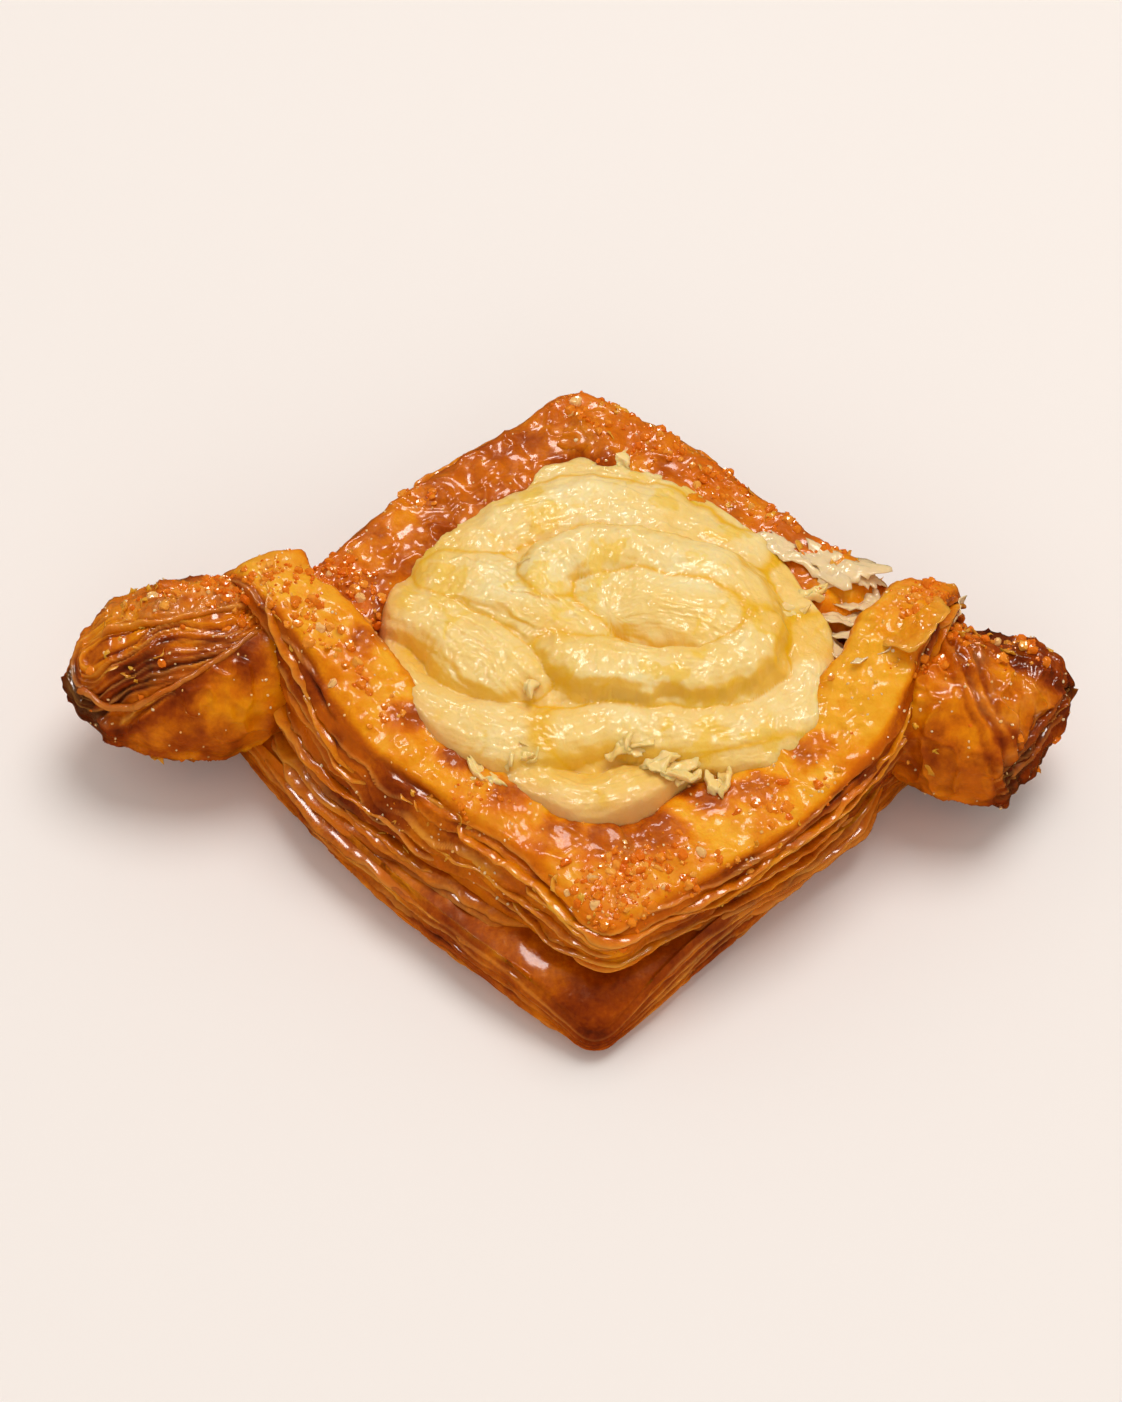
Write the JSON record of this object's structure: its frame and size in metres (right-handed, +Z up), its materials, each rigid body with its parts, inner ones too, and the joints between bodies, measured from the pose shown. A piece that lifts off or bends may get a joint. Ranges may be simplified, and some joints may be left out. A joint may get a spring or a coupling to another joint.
{
  "type": "danish pastry",
  "caption": "Twisted Danish pastry: laminated dough with crossed sides and knotted ends, sugar crystals on its rim and a mound of custard.",
  "frame": {"origin": "on the table, under the middle of the pastry's bounding box", "axes": "+X from the left knot to the right knot, +Y to the back corner, +Z up"},
  "size_m": [0.1516, 0.1114, 0.0319],
  "materials": {
    "baked_dough": "baked laminated dough, egg-washed and sugared, golden to dark amber",
    "custard": "moist pale yellow custard"
  },
  "bodies": {
    "root": {"pastry": "baked_dough", "custard": "custard"}
  },
  "joints": []
}
